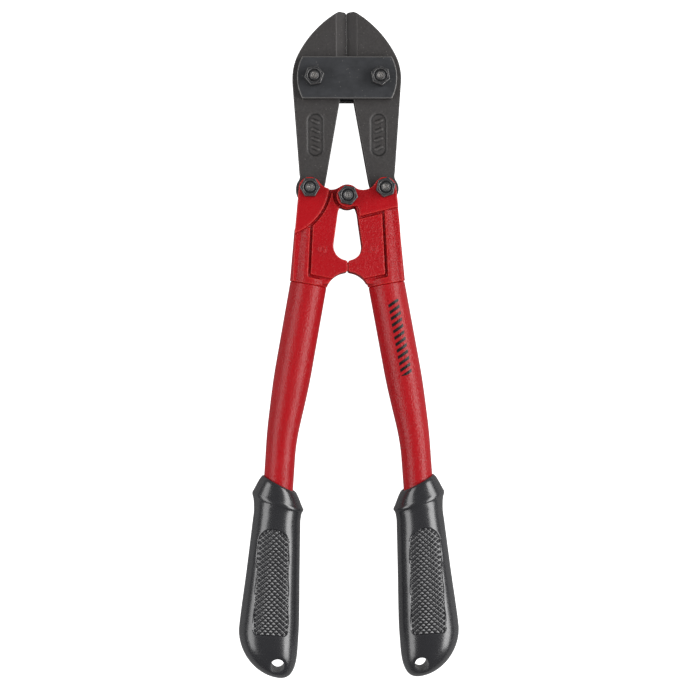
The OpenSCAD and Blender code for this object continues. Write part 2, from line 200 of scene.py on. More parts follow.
class StageSettings(bpy.types.PropertyGroup):
    """Camera and light."""

    distance: FloatProperty(name="Camera height", default=0.85, unit="LENGTH",
                            description="From the lens to the tool's middle plane")
    lens: FloatProperty(name="Lens", default=80.9, unit="CAMERA", description="Focal length")
    roll: FloatProperty(name="Roll", default=math.radians(-0.26), subtype="ANGLE",
                        description="Turn of the camera about its own axis")
    lean: FloatProperty(name="Lean", default=math.radians(-2.1), subtype="ANGLE",
                        description="How far the camera leans over to the left")
    aim: FloatVectorProperty(name="Aim", default=(mm(1.2), mm(-2.2)), size=2, unit="LENGTH",
                             description="Point of the middle plane at the centre of the view")
    sky: FloatProperty(name="Sky", default=0.13, min=0, description="Strength of the surround")
    left_lamp: FloatProperty(name="Left lamp", default=9.0, min=0, subtype="POWER",
                             description="Power of the left lamp")
    right_lamp: FloatProperty(name="Right lamp", default=15.3, min=0, subtype="POWER",
                              description="Power of the right lamp")
    top_lamp: FloatProperty(name="Top lamp", default=3.3, min=0, subtype="POWER",
                            description="Power of the overhead lamp")


# ---------------------------------------------------------------- mesh helpers

def smoothstep(t):
    """0 below 0, 1 above 1, and an S curve between."""
    t = np.clip(t, 0, 1)
    return t * t * (3 - 2 * t)


def through(knots, x):
    """A smooth curve through (x, y) knots that never overshoots them: cubic pieces whose slope at
    each knot is the harmonic mean of the slopes on its two sides, or 0 where those disagree."""
    kx, ky = np.array(knots, float).T
    step = np.diff(kx)
    slope = np.diff(ky) / step
    product = slope[:-1] * slope[1:]
    inner = np.where(product > 0, 2 * product / np.where(product > 0, slope[:-1] + slope[1:], 1), 0)
    grade = np.concatenate([slope[:1], inner, slope[-1:]])
    i = np.clip(np.searchsorted(kx, x, side="right") - 1, 0, len(step) - 1)
    t = np.clip((x - kx[i]) / step[i], 0, 1)
    return (ky[i] * (1 + 2 * t) * (1 - t) ** 2 + ky[i + 1] * t * t * (3 - 2 * t)
            + step[i] * t * (1 - t) * (grade[i] * (1 - t) - grade[i + 1] * t))


def tube_grid(rows, cols):
    """Quads of a grid that is closed round its columns, and its two pole fans.  The vertices are
    rows * cols grid points, then the first pole, then the last pole."""
    r, c = np.meshgrid(np.arange(rows - 1), np.arange(cols), indexing="ij")
    a = r * cols + c
    b = r * cols + (c + 1) % cols
    quads = np.stack([a, b, b + cols, a + cols], -1).reshape(-1, 4)
    ring = np.arange(cols)
    after = (ring + 1) % cols
    first = np.stack([np.full(cols, rows * cols), after, ring], -1)
    last_row = (rows - 1) * cols
    last = np.stack([np.full(cols, rows * cols + 1), ring + last_row, after + last_row], -1)
    return quads, np.concatenate([first, last])


def build_piece(name, verts, quads, tris, body, material, inside_out=False, worn=None):
    """Makes a mesh object from arrays, points its faces outwards and lets it ride on a body.  worn
    is how far the finish is rubbed off at each vertex, 0 to 1."""
    faces = np.concatenate([quads.reshape(-1), tris.reshape(-1)]).astype(np.int32)
    counts = np.concatenate([np.full(len(quads), 4), np.full(len(tris), 3)]).astype(np.int32)
    starts = np.concatenate([[0], np.cumsum(counts)[:-1]]).astype(np.int32)
    mesh = bpy.data.meshes.new(name)
    mesh.vertices.add(len(verts))
    mesh.vertices.foreach_set("co", verts.astype(np.float32).reshape(-1))
    mesh.loops.add(len(faces))
    mesh.loops.foreach_set("vertex_index", faces)
    mesh.polygons.add(len(counts))
    mesh.polygons.foreach_set("loop_start", starts)
    mesh.polygons.foreach_set("use_smooth", np.ones(len(counts), bool))
    mesh.update(calc_edges=True)
    mesh.validate()
    if inside_out:
        mesh.flip_normals()
    if worn is not None:
        mesh.attributes.new("worn", "FLOAT", "POINT").data.foreach_set("value", worn.astype(np.float32))
    mesh.set_sharp_from_angle(angle=math.radians(40))
    mesh.materials.append(material)
    piece = bpy.data.objects.new(name, mesh)
    bpy.context.scene.collection.objects.link(piece)
    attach(piece, body)
    return piece


def break_corners(points, size):
    """Rounds a closed-up profile: each inner corner becomes four rows, two on each side of it at
    one and two sizes away, so that the flats next to it stay flat in shading.  Also returns 1 for
    the rows at a corner and 0 for the others."""
    before = points[:-2] - points[1:-1]
    after = points[2:] - points[1:-1]

    def unit(step):
        return step / np.maximum(np.linalg.norm(step, axis=-1, keepdims=True), 1e-9)

    near = [points[1:-1] + unit(before) * 2 * size, points[1:-1] + unit(before) * size,
            points[1:-1] + unit(after) * size, points[1:-1] + unit(after) * 2 * size]
    inner = np.stack(near, 1).reshape(-1, *points.shape[1:])
    edge = np.concatenate([[0], np.tile([0, 1, 1, 0], len(points) - 2), [0]])
    return np.concatenate([points[:1], inner, points[-1:]]), edge


def read_rows(items, key, wide, kind=np.float32):
    """One property of all items of a mesh, as the rows of an array."""
    values = np.empty(len(items) * wide, kind)
    items.foreach_get(key, values)
    return values.reshape(-1, wide)


def mark_edges(mesh, gain):
    """Tells each vertex how far it stands out from its neighbours, as the attribute "edge": the
    mean fall of its edges along its normal, smoothed, times the gain, 1 at most on a sharp outer
    edge and -1 in a groove."""
    count = len(mesh.vertices)
    place = read_rows(mesh.vertices, "co", 3)
    normal = read_rows(mesh.vertex_normals, "vector", 3)
    one, two = read_rows(mesh.edges, "vertices", 2, np.int32).T
    step = place[two] - place[one]
    step /= np.maximum(np.linalg.norm(step, axis=1, keepdims=True), 1e-7)
    links = np.maximum(np.bincount(one, minlength=count) + np.bincount(two, minlength=count), 1)
    stand = (np.bincount(two, (step * normal[two]).sum(1), count)
             - np.bincount(one, (step * normal[one]).sum(1), count)) / links
    for _ in range(2):
        near = np.bincount(one, stand[two], count) + np.bincount(two, stand[one], count)
        stand = (stand + near / links) / 2
    mesh.attributes.new("edge", "FLOAT", "POINT").data.foreach_set(
        "value", np.clip(stand * gain, -1, 1).astype(np.float32))


FEWEST_VERTICES = 5000              # a skin with fewer has lost its shape
SKIN_GAIN, GRIP_GAIN = 5, 3         # how strongly an edge is marked on the skins and on the grips


def reskin(name, body, material, modifiers, reshape=None):
    """Replaces a CAD node by a finely skinned copy of it.  The modifiers, each a (type, settings)
    pair, are applied to the copy, reshape may move its vertices, and its edges are marked."""
    source = frame["nodes"][name]
    piece = source.copy()
    piece.data = source.data.copy()
    bpy.context.scene.collection.objects.link(piece)
    for kind, settings in modifiers:
        made = piece.modifiers.new(kind.lower(), kind)
        for key, value in settings.items():
            setattr(made, key, value)
    mesh = bpy.data.meshes.new_from_object(piece.evaluated_get(bpy.context.evaluated_depsgraph_get()))
    bpy.data.objects.remove(piece)
    if len(mesh.vertices) < FEWEST_VERTICES:
        raise RuntimeError("the skin of " + name + " is empty")
    if reshape:
        mesh.vertices.foreach_set("co", reshape(read_rows(mesh.vertices, "co", 3)).reshape(-1))
        mesh.update()
    mark_edges(mesh, SKIN_GAIN)
    mesh.name = name + "_skin"
    mesh.materials.clear()
    mesh.materials.append(material)
    skin = bpy.data.objects.new(name + "_skin", mesh)
    bpy.context.scene.collection.objects.link(skin)
    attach(skin, body)
    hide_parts(name)


# ---------------------------------------------------------------- materials

def hex_colour(text, alpha=1.0):
    """An sRGB hex value as linear red, green, blue and alpha."""
    srgb = np.array([int(text[i:i + 2], 16) for i in (1, 3, 5)]) / 255
    linear = np.where(srgb <= 0.04045, srgb / 12.92, ((srgb + 0.055) / 1.055) ** 2.4)
    return (*linear.tolist(), alpha)


def node(tree, kind, settings=None, out=0, **inputs):
    """Adds a shader node, sets its properties and fills or links its inputs, which are named by
    their labels with _ for a space, or by i and a number.  Returns the output with that index."""
    made = tree.nodes.new("ShaderNode" + kind)
    for key, value in (settings or {}).items():
        setattr(made, key, value)
    for key, value in inputs.items():
        numbered = key[0] == "i" and key[1:].isdigit()
        socket = made.inputs[int(key[1:])] if numbered else made.inputs[key.replace("_", " ")]
        if isinstance(value, bpy.types.NodeSocket):
            tree.links.new(value, socket)
        else:
            socket.default_value = value
    return made.outputs[out]


def new_material(name, **constants):
    """A principled material with its constant inputs; returns it, its tree, shader and coordinates."""
    mat = bpy.data.materials.new(name)
    mat.use_nodes = True
    tree = mat.node_tree
    shader = tree.nodes["Principled BSDF"]
    for key, value in constants.items():
        shader.inputs[key.replace("_", " ")].default_value = value
    coords = node(tree, "TexCoord", out=3)
    return mat, tree, shader, coords


def per_mm(size):
    """Scale of a pattern whose features are this many millimetres wide."""
    return 1 / mm(size)


def relief(tree, shader, *layers):
    """Chains bumps into the shader's normal; each layer is a height output, a strength and its
    depth in mm."""
    normal = None
    for height, strength, depth in layers:
        linked = {"Normal": normal} if normal else {}
        normal = node(tree, "Bump", Height=height, Strength=strength, Distance=mm(depth), **linked)
    tree.links.new(normal, shader.inputs["Normal"])


def powder_coat(name, coats, sandy, gleam, print_on=False, ear_top=None):
    """Red powder coat.  It flows into soft orange peel that spreads each highlight, and lets the
    metal under it show through: sand-cast grain on the castings, much less on their ground ears
    and on drawn tube.  Its grooves get painted shade, and its outer edges are paler where the coat
    draws back from them, partly a painted highlight."""
    mat, tree, shader, place = new_material(name, IOR=1.5, Specular_IOR_Level=gleam)
    peel = node(tree, "TexNoise", Vector=place, Scale=per_mm(1.9), Detail=2.0, Roughness=0.5)
    grain = node(tree, "TexNoise", Vector=place, Scale=per_mm(0.95), Detail=2.0, Roughness=0.6)
    cloud = node(tree, "TexNoise", Vector=place, Scale=per_mm(14), Detail=2.0)
    share = 1.0
    if ear_top:
        height = node(tree, "SeparateXYZ", out=2, Vector=place)
        share = node(tree, "MapRange", Value=height, From_Min=ear_top - mm(0.7),
                     From_Max=ear_top - mm(0.2), To_Min=1.0, To_Max=0.3)
    gloss = node(tree, "MapRange", Value=grain, From_Min=0.3, From_Max=0.7,
                 To_Min=0.27, To_Max=0.35 + 0.12 * sandy)
    edge = node(tree, "Attribute", {"attribute_name": "edge"}, out=2)
    # Outer edges paler: partly the coat drawn back, partly a painted highlight
    thin_coat_sheen = node(tree, "MapRange", Value=edge, From_Min=0.14, From_Max=0.7, To_Min=0.0, To_Max=0.65)
    # Grooves darker red: painted shade
    groove_shade = node(tree, "MapRange", Value=edge, From_Min=-0.06, From_Max=-0.6, To_Min=0.0, To_Max=0.4)
    tints = [(cloud, coats.red_deep), (thin_coat_sheen, coats.thin_coat_sheen), (groove_shade, coats.groove_shade)]
    if print_on:
        tints.append((hatch_print(tree), coats.ink))
    colour = hex_colour(coats.red)
    for amount, tint in tints:
        colour = node(tree, "Mix", {"data_type": "RGBA"}, out=2, i0=amount, i6=colour, i7=hex_colour(tint))
    tree.links.new(colour, shader.inputs["Base Color"])
    tree.links.new(gloss, shader.inputs["Roughness"])
    rough = node(tree, "Math", {"operation": "MULTIPLY"}, i0=share, i1=0.45 + 0.55 * sandy)
    relief(tree, shader, (peel, 0.05 + 0.9 * sandy, 0.4), (grain, rough, 0.42))
    return mat


def hatch_print(tree):
    """A plain strip of slanted bars printed down the tube, 1 inside a bar and 0 outside.  The
    tube's own map gives U round the tube from its top and V down it, both in metres."""
    uv = node(tree, "UVMap", {"uv_map": "wrap"})
    slanted = node(tree, "VectorMath", {"operation": "DOT_PRODUCT"}, out=1, i0=uv,
                   i1=(0.45 / mm(3.5), 1 / mm(3.5), 0))
    phase = node(tree, "Math", {"operation": "FRACT"}, i0=slanted)
    bars = node(tree, "Math", {"operation": "LESS_THAN"}, i0=phase, i1=0.5)
    beside = node(tree, "VectorMath", {"operation": "SUBTRACT"}, i0=uv, i1=(mm(1.3), mm(29.6), 0))
    beside = node(tree, "VectorMath", {"operation": "DIVIDE"}, i0=beside, i1=(mm(3.1), mm(20.5), 1))
    beside = node(tree, "VectorMath", {"operation": "ABSOLUTE"}, i0=beside)
    across = node(tree, "SeparateXYZ", Vector=beside)
    down = node(tree, "SeparateXYZ", out=1, Vector=beside)
    most = node(tree, "Math", {"operation": "MAXIMUM"}, i0=across, i1=down)
    strip = node(tree, "Math", {"operation": "LESS_THAN"}, i0=most, i1=1.0)
    return node(tree, "Math", {"operation": "MULTIPLY"}, i0=bars, i1=strip)


def edge_wear_and_shade(tree, bright, dark, coats):
    """Amounts and tints that rub a steel finish bare along its outer edges, by the edge attribute,
    and darken its grooves with painted shade."""
    edge = node(tree, "Attribute", {"attribute_name": "edge"}, out=2)
    bare = node(tree, "MapRange", Value=edge, From_Min=0.15, From_Max=0.75, To_Min=0.0, To_Max=bright)
    # Grooves darker: painted shade
    steel_groove_shade = node(tree, "MapRange", Value=edge, From_Min=-0.06, From_Max=-0.35, To_Min=0.0, To_Max=dark)
    return (bare, coats.bare), (steel_groove_shade, coats.steel_groove_shade)


def black_oxide(coats):
    """Shot-blasted forging with black oxide: a dull dark grey with a fine sparkle, lighter along
    its rubbed edges, with steel showing through in tiny nicks.  Real blasting leaves dents of about
    0.2 mm, which are drawn 0.8 mm wide so that they show."""
    mat, tree, shader, place = new_material("blasted black oxide steel", Metallic=0.25)
    blast = node(tree, "TexNoise", Vector=place, Scale=per_mm(0.8), Detail=3.0, Roughness=0.65)
    cloud = node(tree, "TexNoise", Vector=place, Scale=per_mm(7), Detail=4.0)
    nick = node(tree, "TexVoronoi", Vector=place, Scale=per_mm(2.2), Randomness=1.0)
    spot = node(tree, "MapRange", Value=nick, From_Min=0.06, From_Max=0.13, To_Min=0.3, To_Max=0.0)
    tone = node(tree, "MapRange", Value=cloud, From_Min=0.35, From_Max=0.65, To_Min=0.0, To_Max=0.4)
    grainy = node(tree, "MapRange", Value=blast, From_Min=0.35, From_Max=0.65, To_Min=0.0, To_Max=0.25)
    colour = hex_colour(coats.oxide)
    # Besides the rubbed edges, the edge mix paints shade into the grooves, strongly here so that the
    # panel's outline reads
    for amount, tint in ((tone, coats.oxide_deep), (grainy, coats.oxide_pale), (spot, coats.bare),
                         *edge_wear_and_shade(tree, 0.09, 0.9, coats)):
        colour = node(tree, "Mix", {"data_type": "RGBA"}, out=2, i0=amount, i6=colour, i7=hex_colour(tint))
    gloss = node(tree, "MapRange", Value=blast, From_Min=0.3, From_Max=0.7, To_Min=0.42, To_Max=0.6)
    tree.links.new(colour, shader.inputs["Base Color"])
    tree.links.new(gloss, shader.inputs["Roughness"])
    relief(tree, shader, (blast, 0.5, 0.14))
    return mat


def rolled_plate(coats):
    """Sheared plate with a smooth bluish black scale: fine scratches along X, bright specks where
    the scale has chipped, and sheared edges rubbed bright.  The scratches are hair-fine and are
    drawn 0.6 mm wide so that they show."""
    mat, tree, shader, place = new_material("black scale plate", Metallic=0.35)
    along = node(tree, "Mapping", Vector=place, Scale=(0.12, 1, 1))
    brush = node(tree, "TexNoise", Vector=along, Scale=per_mm(0.6), Detail=3.0)
    speck = node(tree, "TexVoronoi", Vector=place, Scale=per_mm(2.4), Randomness=1.0)
    spot = node(tree, "MapRange", Value=speck, From_Min=0.06, From_Max=0.13, To_Min=0.4, To_Max=0.0)
    grime = node(tree, "TexNoise", Vector=place, Scale=per_mm(5), Detail=4.0, Roughness=0.6)
    tone = node(tree, "MapRange", Value=grime, From_Min=0.35, From_Max=0.7, To_Min=0.0, To_Max=0.6)
    colour = hex_colour(coats.plate)
    # The edge mix rubs the sheared edges bare and paints a little shade into the grooves
    for amount, tint in ((tone, coats.plate_deep), (spot, coats.bare), *edge_wear_and_shade(tree, 0.4, 0.3, coats)):
        colour = node(tree, "Mix", {"data_type": "RGBA"}, out=2, i0=amount, i6=colour, i7=hex_colour(tint))
    gloss = node(tree, "MapRange", Value=brush, From_Min=0.3, From_Max=0.7, To_Min=0.32, To_Max=0.48)
    tree.links.new(colour, shader.inputs["Base Color"])
    tree.links.new(gloss, shader.inputs["Roughness"])
    relief(tree, shader, (brush, 0.3, 0.06), (grime, 0.25, 0.2))
    return mat


def black_plating(coats):
    """Black-plated nuts and bolts: semi-gloss and slightly mottled, with the steel rubbed bare
    along the edges and on the peened bolt ends, which glint.  The plating's own grain is too fine
    to show and is drawn 0.4 mm wide."""
    mat, tree, shader, place = new_material("black plated steel", Metallic=0.6)
    wear = node(tree, "TexNoise", Vector=place, Scale=per_mm(0.9), Detail=3.0, Roughness=0.6)
    fine = node(tree, "TexNoise", Vector=place, Scale=per_mm(0.4), Detail=2.0)
    rubbed = node(tree, "Attribute", {"attribute_name": "worn"}, out=2)
    patchy = node(tree, "MapRange", Value=wear, From_Min=0.35, From_Max=0.6, To_Min=0.25, To_Max=0.9)
    bare = node(tree, "Math", {"operation": "MULTIPLY"}, i0=rubbed, i1=patchy)
    colour = node(tree, "Mix", {"data_type": "RGBA"}, out=2, i0=bare,
                  i6=hex_colour(coats.zinc), i7=hex_colour(coats.bare))
    gloss = node(tree, "MapRange", Value=fine, From_Min=0.3, From_Max=0.7, To_Min=0.32, To_Max=0.46)
    tree.links.new(colour, shader.inputs["Base Color"])
    tree.links.new(gloss, shader.inputs["Roughness"])
    relief(tree, shader, (wear, 0.35, 0.08), (fine, 0.3, 0.03))
    return mat


def moulded_pvc(coats):
    """Dip-moulded soft PVC: deep black and glossy, with a faint slow waviness from the mould
    that breaks up long reflections.  The tips of the knurl carry a painted highlight, paler, and
    its grooves painted shade, darker."""
    mat, tree, shader, place = new_material("moulded black PVC", IOR=1.53, Specular_IOR_Level=0.9)
    wave = node(tree, "TexNoise", Vector=place, Scale=per_mm(7), Detail=2.0)
    dull = node(tree, "TexNoise", Vector=place, Scale=per_mm(1.1), Detail=4.0, Roughness=0.65)
    edge = node(tree, "Attribute", {"attribute_name": "edge"}, out=2)
    # Painted highlight: the knurl's tips paler
    tip = node(tree, "MapRange", Value=edge, From_Min=0.1, From_Max=0.8, To_Min=0.0, To_Max=0.55)
    # Painted shade: the knurl's grooves darker
    groove = node(tree, "MapRange", Value=edge, From_Min=-0.05, From_Max=-0.5, To_Min=0.0, To_Max=0.9)
    colour = hex_colour(coats.pvc)
    for amount, tint in ((wave, coats.pvc_pale), (tip, coats.pvc_tip_highlight), (groove, coats.pvc_groove_shade)):
        colour = node(tree, "Mix", {"data_type": "RGBA"}, out=2, i0=amount, i6=colour, i7=hex_colour(tint))
    gloss = node(tree, "MapRange", Value=dull, From_Min=0.3, From_Max=0.7, To_Min=0.2, To_Max=0.3)
    tree.links.new(colour, shader.inputs["Base Color"])
    tree.links.new(gloss, shader.inputs["Roughness"])
    relief(tree, shader, (wave, 0.3, 0.25), (dull, 0.05, 0.04))
    return mat


# ---------------------------------------------------------------- tubes

def handle_line(handle, s):
    """Centre line of a right-hand handle: its lean falls evenly from the upper to the lower value
    along the bend's arc, and summing the heading along s gives the place.  Returns place and lean."""
    arc = handle.bend_r * (handle.lean_top - handle.lean_low)
    start = handle.run - arc / 2
    fine = np.linspace(0, handle.run + handle.low, 1201)
    lean = handle.lean_top + (handle.lean_low - handle.lean_top) * np.clip((fine - start) / arc, 0, 1)
    step = np.diff(fine)
    mean_lean = (lean[1:] + lean[:-1]) / 2
    x = handle.collar_x + np.concatenate([[0], np.cumsum(step * np.sin(mean_lean))])
    y = -handle.collar_y - np.concatenate([[0], np.cumsum(step * np.cos(mean_lean))])
    return np.interp(s, fine, x), np.interp(s, fine, y), np.interp(s, fine, lean)


def tube_surface(handle, side, cols=96):
    """A circle carried along the handle's line.  Its radius falls by an S curve over the taper and
    is drawn in over the last bit at its top end.  Columns run round from the underside."""
    edge = mm(0.7)
    length = handle.run + handle.low
    turn = np.linspace(0, math.pi / 2, 7)
    step = mm(0.8)
    s = np.concatenate([mm(0.05) + edge * (1 - np.cos(turn)), np.arange(edge + step, length, step),
                        [length]])
    narrow = smoothstep((s - handle.taper_from) / (handle.taper_to - handle.taper_from))
    r = handle.top_r + (handle.end_r - handle.top_r) * narrow
    r[:len(turn)] -= edge * (1 - np.sin(turn))
    x, y, lean = handle_line(handle, s)
    round_it = np.linspace(-math.pi, math.pi, cols, endpoint=False)
    out = r[:, None] * np.sin(round_it)
    verts = np.stack([side * (x[:, None] + out * np.cos(lean)[:, None]),
                      y[:, None] + out * np.sin(lean)[:, None],
                      np.broadcast_to(r[:, None] * np.cos(round_it), out.shape)], -1)
    poles = np.array([[side * x[0], y[0], 0], [side * x[-1], y[-1], 0]])
    return np.concatenate([verts.reshape(-1, 3), poles]) + CENTRE, s, round_it


class BOLTCUTTER_OT_tubes(bpy.types.Operator):
    """Sweeps the two handle tubes and prints a plain hatch on the right one"""

    bl_idname = "bolt_cutter.tubes"
    bl_label = "Handle tubes"

    def execute(self, context):
        handle = context.scene.bolt_cutter_handle
        coats = context.scene.bolt_cutter_coats
        for name, side in SIDES.items():
            material = powder_coat(name + " tube powder coat", coats, 0.25, 0.38, print_on=side > 0)
            verts, s, round_it = tube_surface(handle, side)
            quads, tris = tube_grid(len(s), len(round_it))
            piece = build_piece(name + "_tube_skin", verts, quads, tris, name + "_handle",
                                material, inside_out=side > 0)
            wrap(piece, s, round_it, handle.top_r, len(quads))
            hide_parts(name + "_handle_tube")
        return {"FINISHED"}


def wrap(piece, s, round_it, radius, quad_count):
    """Lays the map of a tube: U is the arc from the tube's top, V the way down it, in metres."""
    mesh = piece.data
    cols = len(round_it)
    index = read_rows(mesh.loops, "vertex_index", 1, np.int32)[:, 0]
    inside = index < len(s) * cols
    row = np.where(inside, index // cols, 0)
    col = np.where(inside, index % cols, 0)
    u = round_it[col] * radius
    corners = u[:quad_count * 4].reshape(-1, 4)
    seam = np.ptp(corners, axis=1) > math.pi * radius
    corners[seam] = np.where(corners[seam] < 0, corners[seam] + 2 * math.pi * radius, corners[seam])
    layer = mesh.uv_layers.new(name="wrap")
    layer.data.foreach_set("uv", np.stack([u, s[row]], -1).astype(np.float32).reshape(-1))


# ---------------------------------------------------------------- grips

# Rim, top and bottom of the knurled panel, and end of the grip: mm below the middle of the bend
RIM_V, ARCH_V, PANEL_END_V, END_V = 25.5, 47.5, 104.9, 128.9


def grip_frame(handle):
    """Middle of the handle's bend, and the directions outwards and down the grip, right-hand side."""
    lean = handle.lean_top
    apex = np.array([handle.collar_x + handle.run * math.sin(lean),
                     -handle.collar_y - handle.run * math.cos(lean)])
    lean = handle.lean_low
    return apex, np.array([math.cos(lean), math.sin(lean)]), np.array([math.sin(lean), -math.cos(lean)])


def grip_sections(step):
    """Rows of the grip in mm: place v down the grip, middle u, half width, half thickness and lean
    of each oval section.  Knots give the rim, flare, ridge, neck and body; the end is two quarter
    superellipses side by side, reached with rows that crowd towards the tip.  Panel rows lie one
    grid step apart."""
    count = int(round((PANEL_END_V + 1.4 - ARCH_V) / step))
    panel = ARCH_V + step * np.arange(count + 1)
    top = np.linspace(RIM_V, ARCH_V, 72)[:-1]
    outer_c, outer_h, inner_c, inner_h, tip_u = 103.5, END_V - 103.5, 111.5, END_V - 111.5, -7.6
    swing = np.linspace(math.asin((panel[-1] - outer_c) / outer_h), math.pi / 2, 66)[1:-1]
    v = np.concatenate([top, panel, outer_c + outer_h * np.sin(swing)])

    half = through([(25.5, 10.75), (26.4, 11.35), (32.6, 14.0), (34.0, 14.6), (34.8, 14.5), (36.2, 13.8),
                    (38.8, 13.2), (42.8, 12.85), (48.5, 13.08), (72, 14.35), (101, 16.08),
                    (103.5, 16.15)], v)
    middle = through([(25, -0.59), (34, -0.3), (42.5, -0.4), (48, -0.28), (72, -0.19),
                      (101, 0.03), (103.5, 0.05)], v)
    thick = through([(25.5, 10.2), (26.4, 10.55), (32.6, 12.0), (34.0, 12.35), (34.8, 12.3), (36.2, 11.8),
                     (38.8, 11.5), (42.8, 11.45), (48.5, 11.72), (72, 12.5), (94, 12.95), (101, 12.97)], v)
    lean = through([(25, 24.5), (34, 15.3), (43, 7.5), (49.5, 0), (150, 0)], v)

    past = v > outer_c
    outer = tip_u + 23.8 * (1 - np.clip((v - outer_c) / outer_h, 0, 1) ** 1.9) ** (1 / 1.9)
    inner = tip_u - 8.5 * (1 - np.clip((v - inner_c) / inner_h, 0, 1) ** 2.7) ** (1 / 2.7)
    half = np.where(past, (outer - inner) / 2, half)
    middle = np.where(past, (outer + inner) / 2, middle)
    thinning = 12.97 * (1 - np.clip((v - 99) / (END_V - 98.9), 0, 1) ** 2.6) ** (1 / 2.6)
    thick = np.where(v > 99, thinning, thick)

    lip = np.array([(26.8, 8.8, 8.12), (25.1, 8.9, 8.25), (24.75, 9.15, 8.55), (24.65, 9.55, 9.0),
                    (24.72, 10.0, 9.5), (25.0, 10.45, 9.95)])
    v = np.concatenate([lip[:, 0], v])
    half = np.concatenate([lip[:, 1], half])
    thick = np.concatenate([lip[:, 2], thick])
    middle = np.concatenate([np.full(len(lip), middle[0]), middle])
    lean = np.concatenate([np.full(len(lip), lean[0]), lean])
    return v, middle, half, thick, np.radians(lean)


def panel_inside(du, v):
    """Distance in mm inside the knurled panel's outline, negative outside: a round arch on top,
    straight sides that open slightly downwards, and small round corners below."""
    arch, corner = 8.2, 3.2
    wide = 8.5 + (v - 55) * 0.022
    top = arch - np.hypot(du * arch / wide, v - (ARCH_V + arch + 0.3))
    across = np.abs(du) - (wide - corner)
    below = v - (PANEL_END_V - corner)
    past_corner = np.hypot(np.maximum(across, 0), np.maximum(below, 0))
    box = corner - past_corner - np.minimum(np.maximum(across, below), 0)
    return np.where(v < ARCH_V + arch + 0.3, top, np.minimum(box, wide - np.abs(du)))


def grip_surface(handle, grip, side):
    """Oval sections |x/a|^n + |z/b|^n = 1 stacked down the grip, n growing below the neck.  Each
    ring has a block of columns one grid step apart on both faces, so that every pyramid gets the
    same eight steps, and finer columns round the flanks.  The panel is sunk, and a pyramid of
    height 1 - 2 max(|s|, |t|) rises on each cell of a square lattice turned by 45 degrees.  The
    hole's rim is rounded down."""
    step = grip.pitch / mm(1) * math.sqrt(2) / 8
    v0, middle, half, thick, lean = grip_sections(step)
    n = 2.05 + 0.3 * smoothstep((v0 - 44) / 18)[:, None]
    shrink = np.minimum(1, half / 12.6)
    axis = np.interp(v0, [ARCH_V, PANEL_END_V], [0.9, -1.0])
    k = np.arange(-grip.block, grip.block + 1)
    beside = np.clip(axis - middle, -0.11 * half, 0.11 * half)
    x_block = beside[:, None] + k * step * shrink[:, None]
    z_block = thick[:, None] * (1 - np.abs(x_block / half[:, None]) ** n) ** (1 / n)

    def flank(x_edge, sign):
        start = np.arccos(np.clip(np.abs(x_edge) / half, 0, 1)[:, None] ** (n / 2))
        turn = start * np.linspace(1, -1, 2 * grip.flank + 1)[1:-1]
        x = sign * half[:, None] * np.cos(turn) ** (2 / n)
        return x, np.sign(turn) * thick[:, None] * np.abs(np.sin(turn)) ** (2 / n)

    x_right, z_right = flank(x_block[:, -1], 1)
    x_left, z_left = flank(x_block[:, 0], -1)
    x = np.concatenate([x_block, x_right, x_block[:, ::-1], x_left[:, ::-1]], 1)
    z = np.concatenate([z_block, z_right, -z_block[:, ::-1], z_left[:, ::-1]], 1)

    u = middle[:, None] + x * np.cos(lean)[:, None]
    v = v0[:, None] - x * np.sin(lean)[:, None]
    du = u - axis[:, None]
    depth = panel_inside(du, v)
    s = (du + v - ARCH_V) / math.sqrt(2) / (grip.pitch / mm(1))
    t = (du - v + ARCH_V) / math.sqrt(2) / (grip.pitch / mm(1))
    pyramid = 1 - 2 * np.maximum(np.abs(s - np.floor(s) - 0.5), np.abs(t - np.floor(t) - 0.5))
    sink = (grip.sunk / mm(1) * smoothstep(depth / 0.7)
            - grip.knurl / mm(1) * pyramid * smoothstep((depth - 0.35) / 0.6))
    hole_u, hole_v, rim_drop, rim_wide = -5.8, 121.0, 0.9, 2.0
    away = np.hypot(u - hole_u, v - hole_v) - grip.hole_r / mm(1)
    sink += rim_drop * (1 - smoothstep((away + 0.6) / rim_wide))
    z = z - np.sign(z) * np.minimum(sink, np.abs(z))

    apex, outwards, down = grip_frame(handle)
    poles_u, poles_v = np.array([middle[0], -7.6]), np.array([v0[0], END_V])
    u = np.concatenate([u.reshape(-1), poles_u])
    v = np.concatenate([v.reshape(-1), poles_v])
    z = np.concatenate([z.reshape(-1), [0, 0]])
    flat = apex + mm(u)[:, None] * outwards + mm(v)[:, None] * down
    verts = np.stack([side * flat[:, 0], flat[:, 1], mm(z)], -1) + CENTRE
    hole = apex + mm(hole_u) * outwards + mm(hole_v) * down
    return verts, len(v0), x.shape[1], np.array([side * hole[0], hole[1], 0]) + CENTRE


def drill(piece, place, radius):
    """Cuts a round hole along Z through a piece and keeps the cut mesh."""
    bpy.ops.mesh.primitive_cylinder_add(vertices=72, radius=radius, depth=mm(60), location=place)
    cutter = bpy.context.object
    cutter.data.polygons.foreach_set("use_smooth", np.ones(len(cutter.data.polygons), bool))
    cut = piece.modifiers.new("hole", "BOOLEAN")
    cut.operation, cut.solver, cut.object = "DIFFERENCE", "EXACT", cutter
    depsgraph = bpy.context.evaluated_depsgraph_get()
    old = piece.data
    name = old.name
    piece.data = bpy.data.meshes.new_from_object(piece.evaluated_get(depsgraph))
    piece.modifiers.clear()
    bpy.data.objects.remove(cutter)
    bpy.data.meshes.remove(old)
    piece.data.name = name
    while len(piece.data.materials) > 1:
        piece.data.materials.pop()
    piece.data.polygons.foreach_set("material_index", np.zeros(len(piece.data.polygons), np.int32))
    piece.data.set_sharp_from_angle(angle=math.radians(40))


